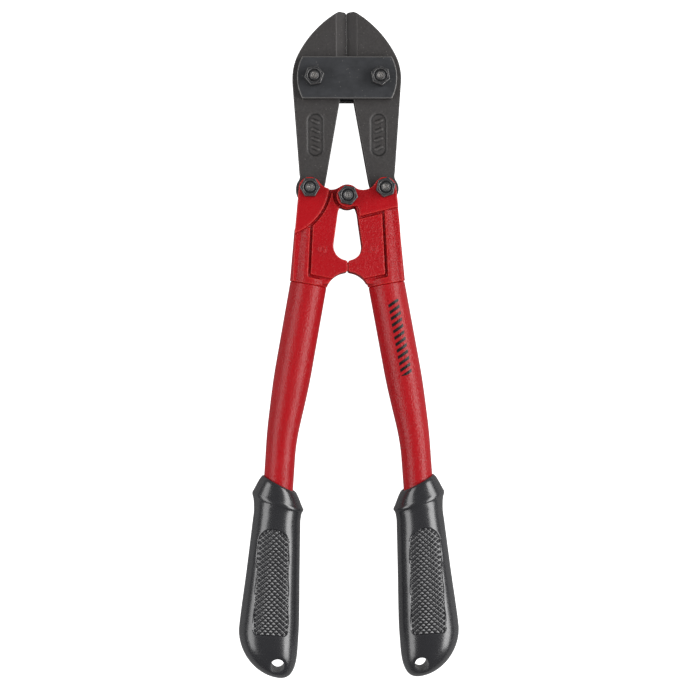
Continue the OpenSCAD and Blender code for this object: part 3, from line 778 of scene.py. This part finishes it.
class BOLTCUTTER_OT_grips(bpy.types.Operator):
    """Moulds the two grips with their knurled panels and hanging holes"""

    bl_idname = "bolt_cutter.grips"
    bl_label = "Grips"

    def execute(self, context):
        handle = context.scene.bolt_cutter_handle
        grip = context.scene.bolt_cutter_grips
        material = moulded_pvc(context.scene.bolt_cutter_coats)
        for name, side in SIDES.items():
            verts, rows, cols, hole = grip_surface(handle, grip, side)
            quads, tris = tube_grid(rows, cols)
            piece = build_piece(name + "_grip_moulding", verts, quads, tris, name + "_handle",
                                material, inside_out=side > 0)
            drill(piece, hole, grip.hole_r)
            mark_edges(piece.data, GRIP_GAIN)
            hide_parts(name + "_grip")
        return {"FINISHED"}


# ---------------------------------------------------------------- nuts and bolts

# How far each nut was left turned, in degrees
NUT_TURNS = {"left_head": 40, "right_head": 10, "left_link": 30, "right_link": 47, "centre": 18.5}


def hex_angles(turn):
    """Angles round a hexagon that crowd towards its corners, and the angle from each side's middle."""
    one_side = np.radians([-30, -28.6, -27, -21, -11, 0, 11, 21, 27, 28.6])
    sides = np.radians(60 * np.arange(6))[:, None] + one_side
    return sides.reshape(-1) + math.radians(turn), np.tile(one_side, 6)


def hex_radius(across_flats, from_middle):
    """Radius of a hexagon at an angle from the middle of a side, with its corner slightly broken."""
    return np.minimum(across_flats / 2 / np.cos(from_middle), across_flats / 2 * 1.143)


def turned_hex(rows, angles, centre):
    """Vertices of rows of (radius, height) given round all angles, about a point."""
    r, z = rows[..., 0], rows[..., 1]
    verts = np.stack([r * np.cos(angles), r * np.sin(angles), z], -1).reshape(-1, 3)
    return verts + np.array([centre[0], centre[1], 0])


def ring_row(radius, height, like):
    """One profile row; radius and height are numbers or one value for each angle."""
    return np.stack([np.broadcast_to(radius, like.shape), np.broadcast_to(height, like.shape)], -1)


def nut_surface(fasteners, low, high, turn, centre):
    """A hexagon nut: bore, countersink, flat top, bevelled top edge, sides, bottom."""
    angles, from_middle = hex_angles(turn)
    side_r = hex_radius(fasteners.nut_af, from_middle)
    bore = fasteners.shank_r + mm(0.06)
    sink = mm(0.6)
    rows = np.stack([
        ring_row(bore, low, side_r), ring_row(bore, high - sink, side_r),
        ring_row(bore + sink, high, side_r),
        ring_row(side_r - mm(0.4), high, side_r), ring_row(side_r, high - mm(0.4), side_r),
        ring_row(side_r, low, side_r), ring_row(bore, low, side_r)])
    rows, edge = break_corners(rows, fasteners.round_over)
    worn = np.repeat(edge[:-1], len(angles)) * 0.38
    return turned_hex(rows[:-1], angles, centre), len(rows) - 1, len(angles), worn


def bolt_surface(fasteners, low, high, turn, centre):
    """A hexagon bolt from its head's dished face up the shank to a chamfered end with a dimple."""
    angles, from_middle = hex_angles(turn)
    side_r = hex_radius(fasteners.head_af, from_middle)
    flat = fasteners.head_af / 2 * 0.95
    cone = math.tan(math.radians(30))
    seat = low + fasteners.head_h
    r = fasteners.shank_r
    rows = np.stack([
        ring_row(mm(0.3), low + mm(0.35), side_r), ring_row(flat * 0.62, low + mm(0.35), side_r),
        ring_row(flat * 0.72, low, side_r), ring_row(flat, low, side_r),
        ring_row(side_r, low + (side_r - flat) * cone, side_r), ring_row(side_r, seat, side_r),
        ring_row(r, seat, side_r), ring_row(r, high - mm(1.1), side_r),
        ring_row(r - mm(0.7), high - mm(0.1), side_r),
        ring_row(r - mm(1.15), high, side_r), ring_row(r - mm(1.6), high - mm(0.4), side_r),
        ring_row(mm(0.7), high - mm(0.35), side_r), ring_row(mm(0.2), high - mm(0.7), side_r)])
    rows, edge = break_corners(rows, mm(0.1))
    verts = turned_hex(rows, angles, centre)
    peened = (rows[..., 0] < mm(1.6)) & (rows[..., 1] > high - mm(0.6))
    worn = np.append(np.maximum(edge[:, None] * 0.4, peened), [0, 1])
    poles = np.array([[centre[0], centre[1], low + mm(0.35)], [centre[0], centre[1], high - mm(0.72)]])
    return np.concatenate([verts, poles]), len(rows), len(angles), worn


class BOLTCUTTER_OT_fasteners(bpy.types.Operator):
    """Turns the five bolts and their nuts"""

    bl_idname = "bolt_cutter.fasteners"
    bl_label = "Nuts and bolts"

    def execute(self, context):
        fasteners = context.scene.bolt_cutter_fasteners
        material = black_plating(context.scene.bolt_cutter_coats)
        bodies = {"left_head": "head", "right_head": "head", "left_link": "left_handle",
                  "right_link": "right_handle", "centre": "right_handle"}
        for name, turn in NUT_TURNS.items():
            low, high = (np.array(corner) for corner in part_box(name + "_bolt"))
            centre = (low + high) / 2
            verts, rows, cols, worn = bolt_surface(fasteners, low[2], high[2], 0, centre)
            quads, tris = tube_grid(rows, cols)
            bolt = build_piece(name + "_bolt_turned", verts, quads, tris, bodies[name],
                               material, worn=worn)
            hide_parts(name + "_bolt")
            low, high = (np.array(corner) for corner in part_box(name + "_nut"))
            verts, rows, cols, worn = nut_surface(fasteners, low[2], high[2], turn, centre)
            quads, _ = tube_grid(rows + 1, cols)
            quads %= rows * cols
            nut = build_piece(name + "_nut_turned", verts, quads, np.zeros((0, 3), int), bodies[name],
                              material, inside_out=True, worn=worn)
            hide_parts(name + "_nut")
        return {"FINISHED"}


# ---------------------------------------------------------------- castings, jaws and plates

class BOLTCUTTER_OT_castings(bpy.types.Operator):
    """Softens the cast handle arms and coats them red"""

    bl_idname = "bolt_cutter.castings"
    bl_label = "Handle castings"

    def execute(self, context):
        metal = context.scene.bolt_cutter_metal
        coats = context.scene.bolt_cutter_coats
        for name, sandy in (("left_handle_casting", 0.5), ("right_handle_casting", 0.8)):
            ear_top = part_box("left_link_nut")[0][2]
            material = powder_coat(name.replace("_", " ") + " powder coat", coats, sandy, 0.32,
                                   ear_top=ear_top)
            reskin(name, name.replace("_casting", ""), material,
                   skinned(metal.cast_soft, mode="VOXEL", voxel_size=metal.cast_voxel))
        return {"FINISHED"}


class BOLTCUTTER_OT_jaws(bpy.types.Operator):
    """Breaks the edges of the forged jaws and blackens them"""

    bl_idname = "bolt_cutter.jaws"
    bl_label = "Jaws"

    def execute(self, context):
        metal = context.scene.bolt_cutter_metal
        material = black_oxide(context.scene.bolt_cutter_coats)
        for name in ("left_jaw", "right_jaw"):
            reskin(name, name, material, crisp(metal.jaw_grid, metal.jaw_soft),
                   close_and_deepen)
        return {"FINISHED"}


def close_and_deepen(place):
    """Draws a jaw's softened cutting edge back out to a narrow land on the parting line, by
    stretching the last millimetre beside it, and doubles the depth of its forged panel so that
    its marks read."""
    worn_back, land, panel_gain = 0.3, 0.012, 2.2
    place = place.copy()
    up = place[:, 1] - CENTRE[1]
    away = np.abs(place[:, 0])
    blade = (up > mm(70)) & (away < mm(1))
    away[blade] = mm(land) + np.maximum(away[blade] - mm(worn_back), 0) * (1 - land) / (1 - worn_back)
    place[:, 0] = np.sign(place[:, 0]) * away
    top = place[:, 2].max()
    panel = (top - place[:, 2] < mm(0.5)) & (away > mm(10)) & (away < mm(23))
    panel &= (up > mm(19)) & (up < mm(48))
    place[panel, 2] = top - (top - place[panel, 2]) * panel_gain
    return place


class BOLTCUTTER_OT_plates(bpy.types.Operator):
    """Breaks the edges of the head plates and gives them their scale"""

    bl_idname = "bolt_cutter.plates"
    bl_label = "Head plates"

    def execute(self, context):
        metal = context.scene.bolt_cutter_metal
        material = rolled_plate(context.scene.bolt_cutter_coats)
        for name in ("front_head_plate", "rear_head_plate"):
            reskin(name, "head", material, crisp(metal.plate_grid, metal.plate_soft))
        return {"FINISHED"}


def skinned(passes, **remesh):
    """Modifiers that close a CAD node's loose triangles into one fine skin and then soften its
    edges.  A voxel skin rounds them, and a sharp one keeps them and breaks them by a little."""
    return (("WELD", {"merge_threshold": mm(0.01)}),
            ("REMESH", {"use_smooth_shade": True, **remesh}),
            ("SMOOTH", {"factor": 0.5, "iterations": passes}))


def crisp(grid, passes):
    """The sharp kind of skin, on a grid of the node's box halved so many times."""
    return skinned(passes, mode="SHARP", octree_depth=grid, scale=0.95, use_remove_disconnected=False)


# ---------------------------------------------------------------- stage

class BOLTCUTTER_OT_stage(bpy.types.Operator):
    """Lays the pale floor, which is clear from below, sets the soft light and places the camera"""

    bl_idname = "bolt_cutter.stage"
    bl_label = "Stage"

    def execute(self, context):
        stage = context.scene.bolt_cutter_stage
        scene = context.scene
        scene.view_settings.view_transform = "Standard"
        world = scene.world or bpy.data.worlds.new("surround")
        scene.world = world
        world.use_nodes = True
        world.node_tree.nodes["Background"].inputs["Color"].default_value = (1, 1, 1, 1)
        world.node_tree.nodes["Background"].inputs["Strength"].default_value = stage.sky

        camera = bpy.data.objects.new("camera", bpy.data.cameras.new("camera"))
        scene.collection.objects.link(camera)
        turn = Euler((0, stage.lean, stage.roll))
        back = turn.to_matrix().col[2] * stage.distance
        camera.location = (stage.aim[0] + back[0], stage.aim[1] + back[1], MID_Z + back[2])
        camera.rotation_euler = turn
        camera.data.lens = stage.lens
        camera.data.sensor_width = 36
        scene.camera = camera

        # Paper that gives back little light, so that undersides stay dark, but that the camera
        # sees lit to full white
        paper, tree, shader, place = new_material(
            "white paper", Roughness=0.9, Base_Color=(0.4, 0.4, 0.4, 1), Emission_Color=(1, 1, 1, 1))
        fibre = node(tree, "TexNoise", Vector=place, Scale=per_mm(1.5), Detail=3.0)
        relief(tree, shader, (fibre, 0.1, 0.05))
        seen = node(tree, "LightPath", out=0)
        glow = node(tree, "MapRange", Value=seen, To_Min=0.0, To_Max=1.2)
        tree.links.new(glow, shader.inputs["Emission Strength"])
        below = node(tree, "NewGeometry", out=6)
        one_sided = node(tree, "Math", {"operation": "SUBTRACT"}, i0=1.0, i1=below)
        tree.links.new(one_sided, shader.inputs["Alpha"])
        mesh = bpy.data.meshes.new("floor")
        reach = 3.0
        mesh.from_pydata([(-reach, -reach, 0), (reach, -reach, 0), (reach, reach, 0), (-reach, reach, 0)],
                         [], [(0, 1, 2, 3)])
        mesh.materials.append(paper)
        floor = bpy.data.objects.new("floor", mesh)
        scene.collection.objects.link(floor)

        out, up, overhead = 0.9, 0.68, 1.4
        for side, power in ((-1, stage.left_lamp), (1, stage.right_lamp)):
            softbox("side lamp", power, (0.55, 1.6), (side * out, 0, up), side * math.atan2(out, up))
        softbox("top lamp", stage.top_lamp, (0.9, 0.9), (0, 0, overhead), 0).visible_glossy = False
        return {"FINISHED"}


def softbox(name, power, size, place, lean):
    """A rectangular area lamp, leaned about Y."""
    lamp = bpy.data.lights.new(name, "AREA")
    lamp.shape, lamp.energy = "RECTANGLE", power
    lamp.size, lamp.size_y = size
    box = bpy.data.objects.new(name, lamp)
    bpy.context.scene.collection.objects.link(box)
    box.location = place
    box.rotation_euler = Euler((0, lean, 0))
    return box


# ---------------------------------------------------------------- add-on

class BOLTCUTTER_PT_panel(bpy.types.Panel):
    """Lists the bolt cutters' pieces and their settings"""

    bl_idname = "BOLTCUTTER_PT_panel"
    bl_label = "Bolt Cutters"
    bl_space_type = "VIEW_3D"
    bl_region_type = "UI"
    bl_category = "Bolt Cutters"

    def draw(self, context):
        for step in STEPS:
            self.layout.operator(step.bl_idname)
        for name, group in SETTINGS.items():
            box = self.layout.box()
            box.label(text=group.__name__)
            for key in group.__annotations__:
                box.prop(getattr(context.scene, name), key)


STEPS = (BOLTCUTTER_OT_stage, BOLTCUTTER_OT_jaws, BOLTCUTTER_OT_plates, BOLTCUTTER_OT_fasteners,
         BOLTCUTTER_OT_castings, BOLTCUTTER_OT_tubes, BOLTCUTTER_OT_grips)
SETTINGS = {"bolt_cutter_handle": HandleSettings, "bolt_cutter_grips": GripSettings,
            "bolt_cutter_fasteners": FastenerSettings, "bolt_cutter_metal": MetalSettings,
            "bolt_cutter_coats": CoatSettings, "bolt_cutter_stage": StageSettings}
CLASSES = (*SETTINGS.values(), *STEPS, BOLTCUTTER_PT_panel)


def register():
    for cls in CLASSES:
        bpy.utils.register_class(cls)
    for name, cls in SETTINGS.items():
        setattr(bpy.types.Scene, name, PointerProperty(type=cls))


def unregister():
    for name in SETTINGS:
        delattr(bpy.types.Scene, name)
    for cls in reversed(CLASSES):
        bpy.utils.unregister_class(cls)


def main():
    register()
    bpy.ops.bolt_cutter.stage()
    bpy.ops.bolt_cutter.jaws()
    bpy.ops.bolt_cutter.plates()
    bpy.ops.bolt_cutter.fasteners()
    bpy.ops.bolt_cutter.castings()
    bpy.ops.bolt_cutter.tubes()
    bpy.ops.bolt_cutter.grips()


if __name__ == "__main__":
    main()
